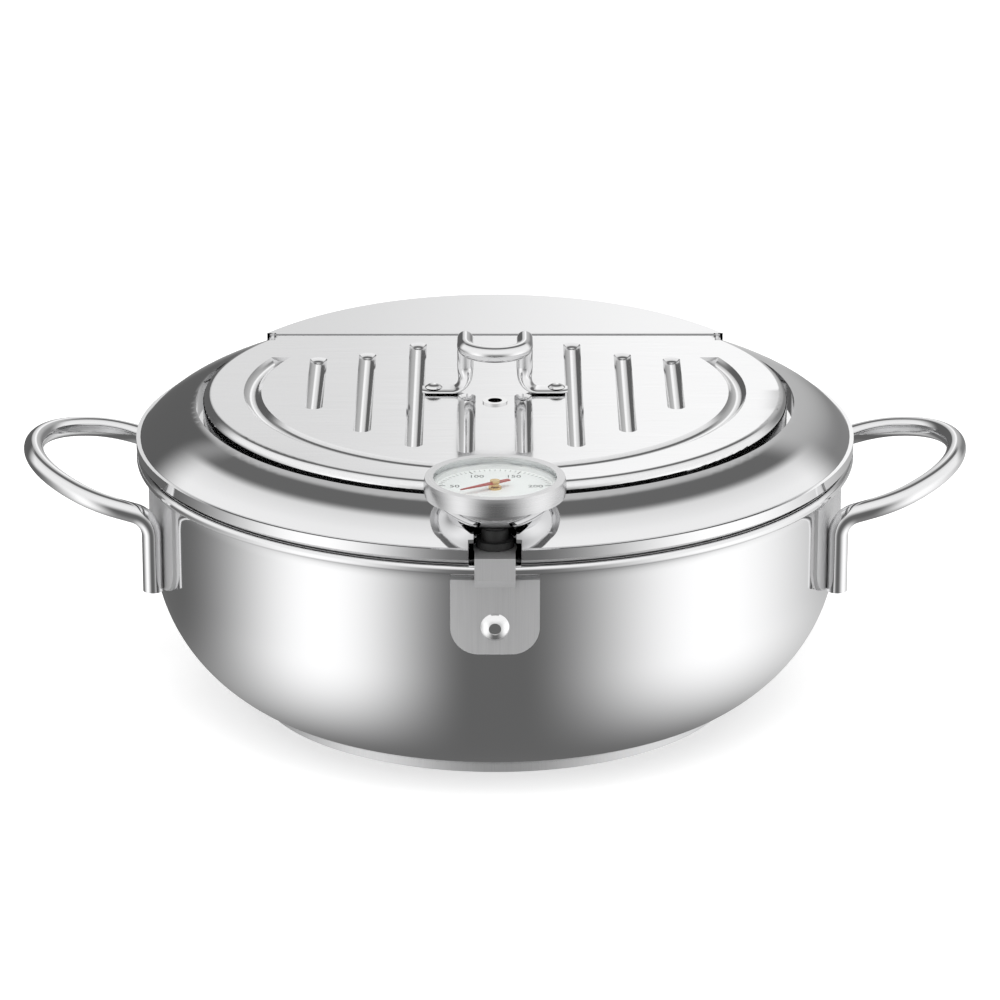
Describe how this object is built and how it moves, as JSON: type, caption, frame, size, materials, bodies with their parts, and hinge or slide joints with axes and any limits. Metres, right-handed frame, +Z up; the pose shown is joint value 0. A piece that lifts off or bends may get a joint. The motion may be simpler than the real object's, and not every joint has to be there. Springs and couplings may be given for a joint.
{
  "type": "deep frying pot",
  "caption": "Stove-top deep-frying pot with two tube handles, a domed drip-return lid with a grooved folding drain plate, and a dial thermometer in a wall bracket.",
  "frame": {"origin": "centre of the base on the surface the pot stands on", "axes": "+X through the right side handle, +Z up, the thermometer on -Y at the front"},
  "size_m": [0.3238, 0.259, 0.1299],
  "materials": {
    "polished_steel": "mirror-polished stainless steel",
    "satin_steel": "satin stainless steel",
    "plate_steel": "bright rolled stainless steel with pressed grooves",
    "bezel_steel": "fine matt brushed stainless steel",
    "bright_rivet": "bright stainless rivet",
    "base_aluminium": "plain aluminium disc",
    "lens_glass": "clear domed glass",
    "white_gasket": "white silicone ring",
    "dial_white": "white enamelled dial with black scale",
    "black_silicone": "matt black silicone",
    "bush_brass": "turned brass",
    "coil_bronze": "bimetal strip",
    "needle_red": "dark red pointer"
  },
  "bodies": {
    "pot": {"pot_shell": "polished_steel", "base_core": "base_aluminium", "base_cap": "satin_steel", "handle_left": "polished_steel", "handle_right": "polished_steel", "handle_plate_left": "satin_steel", "handle_plate_right": "satin_steel", "handle_rivets": "bright_rivet", "thermometer_bracket": "satin_steel", "bracket_rivet": "bright_rivet"},
    "lid": {"lid_ring": "polished_steel", "lid_seat_ring": "satin_steel", "hinge_brackets": "satin_steel"},
    "drain_plate": {"drain_plate": "plate_steel", "hinge_pins": "satin_steel", "plate_handle": "polished_steel", "plate_handle_rivets": "bright_rivet", "vent_eyelet": "bright_rivet"},
    "thermometer": {"thermometer_bezel": "bezel_steel", "thermometer_back": "polished_steel", "thermometer_lens": "lens_glass", "lens_gasket": "white_gasket", "dial_plate": "dial_white", "thermometer_stem": "satin_steel", "stem_grommet": "black_silicone", "spindle_bush": "bush_brass", "bimetal_coil": "coil_bronze", "stem_plug": "satin_steel"},
    "pointer": {"needle": "needle_red", "needle_cap": "bush_brass", "spindle": "satin_steel"}
  },
  "joints": [
    {"name": "lid_lift", "type": "slide", "parent": "pot", "child": "lid", "axis": [0, 0, 1], "range_m": [0, 0.12]},
    {"name": "plate_tilt", "type": "hinge", "parent": "lid", "child": "drain_plate", "pos_m": [0, 0.061, 0.106], "axis": [-1, 0, 0], "range_deg": [0, 95]},
    {"name": "thermometer_lift", "type": "slide", "parent": "lid", "child": "thermometer", "axis": [0, 0, 1], "range_m": [0, 0.08]},
    {"name": "needle_turn", "type": "hinge", "parent": "thermometer", "child": "pointer", "pos_m": [0, -0.113, 0.1126], "axis": [0, 0, 1], "range_deg": [-257, 13], "stiffness_Nm_per_rad": 0.00002}
  ]
}
